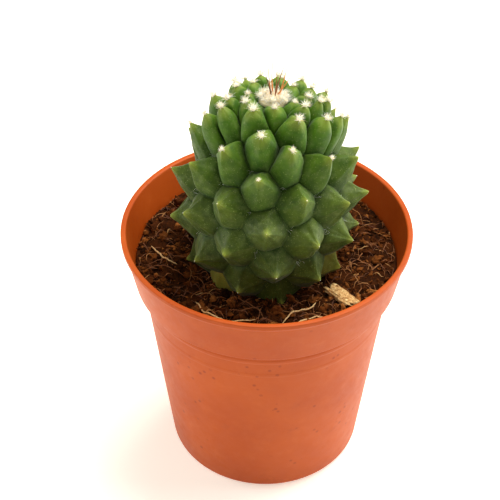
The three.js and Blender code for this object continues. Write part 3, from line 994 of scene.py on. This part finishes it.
def spine_material():
    material, tree, shader = new_material("spine")
    tint = mark(tree, "tint")
    orange, brown, dark = linear(232, 142, 58), linear(150, 74, 30), linear(58, 26, 14)
    tone = ramp(tree, tint, [(0, orange), (0.5, brown), (1, dark)])
    streak = clouds(tree, 0.6, 3)
    tone = mix(tree, math_node(tree, "MULTIPLY", streak, 0.25), tone, linear(226, 160, 90))
    set_inputs(tree, shader, {
        "Base Color": tone,
        "Roughness": 0.42,
    })
    return material


def make_spines():
    material = spine_material()
    wool_top = CORE_HEIGHT + CROWN_WOOL_HEIGHT + 3 * GAP
    for number, (azimuth, distance, tilt, tint) in enumerate(CROWN_SPINES, 1):
        rng = random.Random(300 + number)
        around, lean = math.radians(azimuth), math.radians(tilt)
        ahead = radial(around, math.sin(lean), math.cos(lean))
        root = radial(around, distance, wool_top) - ahead * SPINE_SUNK
        bend = scatter(rng, 0.35)
        heap = Heap()
        axis = placed_axis(root, ahead)
        length = SPINE_LENGTH + SPINE_SUNK
        heap.add(*hair(placed(root), axis, length, SPINE_RADIUS, bend, 8, 7), tint=tint)
        name = f"spine_{number:02d}"
        heap.piece(name, material, "spine", replaces=[f"crown_spine_{number:02d}"])


# ---- soil


def inside_radius():
    """The pot's inner radius at the soil's level."""
    top, ledge = POT_HEIGHT, POT_HEIGHT - COLLAR_HEIGHT + WALL
    narrow = RIM_RADIUS - LIP_OVERHANG - COLLAR_DRAFT - WALL
    wide = RIM_RADIUS - RIM_WIDTH
    return narrow + (wide - narrow) * (SOIL_LEVEL - ledge) / (top - ledge)


SOIL_RADIUS = inside_radius() - GAP
SOIL_SWELLS = [(1.1, 9, 3), (0.9, 3.2, 8), (0.45, 1.3, 1)]  # height, size, noise layer
SOIL_LIFT = 0.3


def soil_height(x, y):
    slope = SOIL_DIP * (math.hypot(x, y) / SOIL_RADIUS) ** 2
    swell = 0
    for height, size, layer in SOIL_SWELLS:
        swell += height * noise.noise(Vector((x / size, y / size, layer)))
    return soil_at_plant + SOIL_LIFT + slope + swell


def soil_material():
    material, tree, shader = new_material("soil")
    tint = mark(tree, "tint")
    grain = clouds(tree, 0.7, 6, 0.75)
    tone = math_node(tree, "ADD", around_zero(tree, grain, 0.9), tint, True)
    colour = ramp(tree, tone, [
        (0.0, linear(30, 12, 2)),
        (0.3, linear(74, 36, 10)),
        (0.55, linear(116, 66, 26)),
        (0.8, linear(168, 106, 52)),
        (1.0, linear(214, 164, 104)),
    ])
    set_inputs(tree, shader, {
        "Base Color": colour,
        "Roughness": 0.95,
        "Specular IOR Level": 0.08,
    })
    bump(tree, shader, clouds(tree, 0.6, 5, 0.75), 0.35, 0.8)
    return material


SOIL_RINGS, SOIL_SEGMENTS = 110, 240
SOIL_EDGE = 1.5  # how far the soil's edge goes down behind its own top


def make_soil_bed(material):
    """The body of soil: a rough top on a plain block that fills the pot."""
    floor_top = FLOOR_LIFT + FLOOR_THICKNESS + GAP
    ledge = POT_HEIGHT - COLLAR_HEIGHT + WALL
    collar = RIM_RADIUS - LIP_OVERHANG - COLLAR_DRAFT - WALL - GAP
    rings, segments = SOIL_RINGS, SOIL_SEGMENTS
    verts, faces = [(0, 0, soil_height(0, 0))], []
    for i in range(1, rings + 1):
        radius = SOIL_RADIUS * i / rings
        for k in range(segments):
            x, y = radial(2 * math.pi * k / segments, radius).xy
            verts.append((x, y, soil_height(x, y) if i < rings else SOIL_LEVEL - SOIL_EDGE))
    side = [
        (collar, ledge + GAP),
        (collar - LEDGE_WIDTH, ledge + GAP - LEDGE_DROP),
        (BASE_RADIUS - WALL - GAP, floor_top + BASE_CHAMFER),
        (BASE_RADIUS - WALL - BASE_CHAMFER - GAP, floor_top),
    ]
    for radius, height in side:
        for k in range(segments):
            x, y = radial(2 * math.pi * k / segments, radius).xy
            verts.append((x, y, height))
    verts.append((0, 0, floor_top))
    rows = rings + len(side)
    for k in range(segments):
        after = (k + 1) % segments
        faces.append((0, 1 + k, 1 + after))
        for i in range(rows - 1):
            a, b = 1 + i * segments + k, 1 + i * segments + after
            faces.append((a, a + segments, b + segments, b))
        last = 1 + (rows - 1) * segments
        faces.append((last + k, len(verts) - 1, last + after))
    tints = [0.12 + 0.2 * noise.noise(Vector(v) / 2.5) for v in verts]
    make_piece("soil_bed", verts, faces, material, "soil", ["soil"], marks={"tint": tints})


NECK_CLEARANCE = 15.5  # nothing loose lies nearer to the plant's middle than this
WALL_CLEARANCE = 0.8


def soil_spot(rng, margin=WALL_CLEARANCE):
    """A random place on the soil, outside the plant's neck."""
    while True:
        radius = (SOIL_RADIUS - margin) * math.sqrt(rng.random())
        spot = radial(rng.uniform(0, 2 * math.pi), radius)
        if (spot - Vector((PLANT_X, PLANT_Y, 0))).length > NECK_CLEARANCE:
            return spot.x, spot.y


# Count, smallest and largest size, level of the ball they are made from.
CRUMBS = [(420, 0.9, 2.0, 3), (1500, 0.35, 0.9, 2)]
CRUMB_ROUGHNESS = 1.1


def make_crumbs(material):
    rng = random.Random(41)
    for number, (count, small, large, level) in enumerate(CRUMBS, 1):
        heap = Heap()
        for _ in range(count):
            size = small + (large - small) * rng.random() ** 2
            x, y = soil_spot(rng, margin=size)
            scale = (size, size * rng.uniform(0.35, 0.85), size * rng.uniform(0.3, 0.6))
            height = soil_height(x, y) + scale[2] * rng.uniform(-0.1, 0.6)
            tint = tint_near(rng, 0.33, 0.18)
            centre, turn = Vector((x, y, height)), random_turn(rng)
            heap.add(*lump(rng, centre, scale, turn, level, CRUMB_ROUGHNESS), tint=tint)
        heap.piece(f"soil_crumbs_{number}", material, "soil")


def coir_material():
    material, tree, shader = new_material("coir")
    grain = clouds(tree, 1.2, 3)
    tone = math_node(tree, "ADD", around_zero(tree, grain, 0.4), mark(tree, "tint"), True)
    colour = ramp(tree, tone, [
        (0.0, linear(84, 42, 16)),
        (0.4, linear(150, 92, 44)),
        (0.7, linear(196, 144, 84)),
        (1.0, linear(232, 202, 146)),
    ])
    set_inputs(tree, shader, {
        "Base Color": colour,
        "Roughness": 0.7,
    })
    bump(tree, shader, clouds(tree, 0.3, 3), 0.03, 0.6)
    return material


def loose_fibre(rng, x, y, length, radius, lift):
    """A curled fibre that follows the soil and rises a little in its middle."""
    steps = max(5, int(length / 0.9))
    heading = rng.uniform(0, 2 * math.pi)
    curl = rng.gauss(0, 0.9) / length
    points, radii = [], []
    for i in range(steps + 1):
        t = i / steps
        height = soil_height(x, y) + radius + lift * math.sin(math.pi * min(1, t * 1.15))
        points.append((x, y, height + 0.15 * rng.gauss(0, 1) * radius))
        radii.append(radius * (1 - 0.6 * abs(2 * t - 1) ** 2))
        heading += curl * length / steps + rng.gauss(0, 0.07)
        x += math.cos(heading) * length / steps
        y += math.sin(heading) * length / steps
        reach = math.hypot(x, y)
        limit = SOIL_RADIUS - WALL_CLEARANCE
        if reach > limit:
            x, y = x * limit / reach, y * limit / reach
    return points, radii


FINE_FIBRES = 700


def make_fine_coir(material):
    rng = random.Random(51)
    heap = Heap()
    for _ in range(FINE_FIBRES):
        x, y = soil_spot(rng)
        length = rng.uniform(1.5, 6) if rng.random() < 0.88 else rng.uniform(6, 15)
        radius = rng.uniform(0.06, 0.16)
        points, radii = loose_fibre(rng, x, y, length, radius, rng.uniform(0, 1.6))
        tint = tint_near(rng, 0.26, 0.22)
        heap.add(*tube(points, radii, 5), tint=tint)
    heap.piece("fine_coir", material, "coir")


# The long fibres, as points of azimuth and share of the way from the plant to the wall.
FIBRES = [
    [(-44, 0.45), (-34, 0.62), (-20, 0.6), (-6, 0.42)],
    [(8, 0.5), (16, 0.3), (26, 0.34), (34, 0.2)],
    [(12, 0.72), (20, 0.6), (30, 0.66)],
    [(-78, 0.3), (-84, 0.55), (-96, 0.8)],
    [(120, 0.4), (136, 0.7), (150, 0.55)],
]
FIBRE_RADIUS = 0.24
FIBRE_HUMP = 0.9  # how high a long fibre's middle stands off the soil
FIBRE_STEPS = 10  # between two of its points


def fibre_radius(t):
    """Nearly even along the fibre and thinner at both ends."""
    return FIBRE_RADIUS * (1 - 0.7 * abs(2 * t - 1) ** 3)


def make_long_fibres(material):
    neck = CORE_RADIUS * CORE_OUTLINE[-1][0] + TUBERCLE_LENGTH / 2
    for number, route in enumerate(FIBRES, 1):
        corners = []
        for azimuth, share in route:
            distance = neck + (SOIL_RADIUS - 1 - neck) * share
            corners.append(radial(math.radians(azimuth), distance)[:])
        curve = smooth_curve(corners, FIBRE_STEPS)
        points = []
        for i, (x, y, _) in enumerate(curve):
            hump = FIBRE_HUMP * math.sin(math.pi * i / (len(curve) - 1))
            points.append((x, y, soil_height(x, y) + 0.5 + hump))
        radii = [fibre_radius(i / (len(points) - 1)) for i in range(len(points))]
        heap = Heap()
        heap.add(*tube(points, radii, 8), tint=0.85)
        name = f"long_fibre_{number:02d}"
        heap.piece(name, material, "coir", replaces=[f"coir_fibre_{number:02d}"])


# ---- bark chip


CHIP_AZIMUTH, CHIP_TILT = math.radians(-53), math.radians(-5)
CHIP_HALF_SIZES = 5.0, 1.9, 0.75  # length, width, height
CHIP_LIFT = 0.4
CHIP_SQUARENESS = 0.6  # 1 is an ellipse, 0 a rectangle


def bark_material():
    material, tree, shader = new_material("bark")
    inputs = {"Vector": place(tree), "Scale": (1, 1, 3), "Rotation": (0, 0, -CHIP_AZIMUTH)}
    stretch = add_node(tree, "ShaderNodeMapping", inputs)
    grain = clouds(tree, 1.0, 6, 0.7, stretch.outputs["Vector"])
    colour = ramp(tree, grain, [
        (0.34, linear(84, 46, 18)),
        (0.48, linear(196, 146, 84)),
        (0.66, linear(246, 220, 160)),
    ])
    set_inputs(tree, shader, {
        "Base Color": colour,
        "Roughness": 0.85,
    })
    bump(tree, shader, grain, 0.3, 0.8)
    return material


def make_bark_chip():
    """A flake of bark: a slab with ragged ends, grooved along its length."""
    low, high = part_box("bark_chip")
    middle = (low + high) / (2 * MM)
    half_length, half_width, half_height = CHIP_HALF_SIZES
    turn = Matrix.Rotation(CHIP_AZIMUTH, 3, "Z") @ Matrix.Rotation(CHIP_TILT, 3, "Y")
    across, along = 40, 60
    verts, faces = [], []
    for i in range(along + 1):
        t = 2 * i / along - 1
        for k in range(across):
            angle = 2 * math.pi * k / across
            c, s = math.cos(angle), math.sin(angle)
            y = half_width * math.copysign(abs(c) ** CHIP_SQUARENESS, c)
            z = half_height * math.copysign(abs(s) ** CHIP_SQUARENESS, s)
            ragged = 1 + 0.45 * noise.noise(Vector((y * 3.4, z * 2.5, 5 if t > 0 else 9)))
            end = max(0.0, (abs(t) - 0.9) / 0.1)
            narrow = math.sqrt(max(0.0, 1 - 0.8 * end**2))
            groove = 0.45 * noise.noise(Vector((t * 0.9, y * 2.6, z * 2.6)))
            groove += 0.35 * noise.noise(Vector((t * 1.8, y * 7, z * 7)))
            body = narrow * (1 + groove)
            point = Vector((half_length * t * ragged, y * body, z * body))
            verts.append(tuple(turn @ point + middle + Vector((0, 0, CHIP_LIFT))))
    for i in range(along):
        for k in range(across):
            a, b = i * across + k, i * across + (k + 1) % across
            faces.append((a, b, b + across, a + across))
    faces.append(tuple(range(across - 1, -1, -1)))
    faces.append(tuple(range(along * across, (along + 1) * across)))
    make_piece("chip_of_bark", verts, faces, bark_material(), "bark", ["bark_chip"])


# ---- stage


FLOOR_SIZE = 3  # metres from the middle to each side
LIGHT_AIM = Vector((0, 0, 0.09))
CAMERA_ELEVATION = math.radians(40.6)
CAMERA_DISTANCE = 9  # in rim radii
CAMERA_AIM = Vector((-0.114, 0, 1.711))  # in rim radii


def make_floor():
    mesh = bpy.data.meshes.new("floor")
    size = FLOOR_SIZE
    corners = [(-size, -size, 0), (size, -size, 0), (size, size, 0), (-size, size, 0)]
    mesh.from_pydata(corners, [], [(0, 1, 2, 3)])
    floor = bpy.data.objects.new("floor", mesh)
    bpy.context.scene.collection.objects.link(floor)
    material, tree, shader = new_material("floor")
    set_inputs(tree, shader, {
        "Base Color": linear(250, 246, 238),
        "Roughness": 0.8,
        "Emission Color": (1, 0.98, 0.86, 1),
        "Emission Strength": 0.42,
    })
    mesh.materials.append(material)


def add_softbox(name, place_at, size, power, colour=(1, 1, 1)):
    lamp = bpy.data.lights.new(name, "AREA")
    lamp.size, lamp.energy, lamp.color = size, power, colour
    holder = bpy.data.objects.new(name, lamp)
    bpy.context.scene.collection.objects.link(holder)
    holder.location = place_at
    ahead = LIGHT_AIM - Vector(place_at)
    holder.rotation_euler = ahead.to_track_quat("-Z", "Y").to_euler()


def light_scene():
    world = bpy.data.worlds.new("studio")
    bpy.context.scene.world = world
    world.use_nodes = True
    sky = world.node_tree.nodes["Background"]
    sky.inputs["Color"].default_value = (1, 0.95, 0.84, 1)
    sky.inputs["Strength"].default_value = 0.26
    add_softbox("top_light", (0.14, 0.14, 0.62), 0.4, 5.6, (1, 0.97, 0.9))
    add_softbox("right_light", (0.5, 0.1, 0.2), 0.4, 2.4)
    add_softbox("left_light", (-0.5, 0.05, 0.2), 0.4, 1.5)
    add_softbox("front_fill", (-0.15, -0.5, 0.4), 0.5, 0.7)
    bpy.context.scene.view_settings.view_transform = "Standard"


def add_camera():
    """The viewing angle of the reference: from the front, looking down."""
    rim = RIM_RADIUS * MM
    back = Vector((0, -math.cos(CAMERA_ELEVATION), math.sin(CAMERA_ELEVATION)))
    data = bpy.data.cameras.new("camera")
    data.lens, data.sensor_width = 93.1, 36
    data.clip_start = 0.01
    camera = bpy.data.objects.new("camera", data)
    bpy.context.scene.collection.objects.link(camera)
    camera.location = CAMERA_AIM * rim + back * (CAMERA_DISTANCE * rim)
    camera.rotation_euler = (math.pi / 2 - CAMERA_ELEVATION, 0, 0)
    bpy.context.scene.camera = camera


# ---- assembly

tubercles = [Tubercle(age) for age in range(FIRST_TUBERCLE, TUBERCLE_COUNT + 1)]
make_pot()
make_cactus(tubercles)
wool = wool_material()
make_tufts(tubercles, wool)
make_old_areoles(tubercles, wool)
make_axil_wool(tubercles, wool)
make_crown_wool(wool)
make_spines()
soil = soil_material()
make_soil_bed(soil)
make_crumbs(soil)
coir = coir_material()
make_fine_coir(coir)
make_long_fibres(coir)
make_bark_chip()
make_floor()
light_scene()
add_camera()
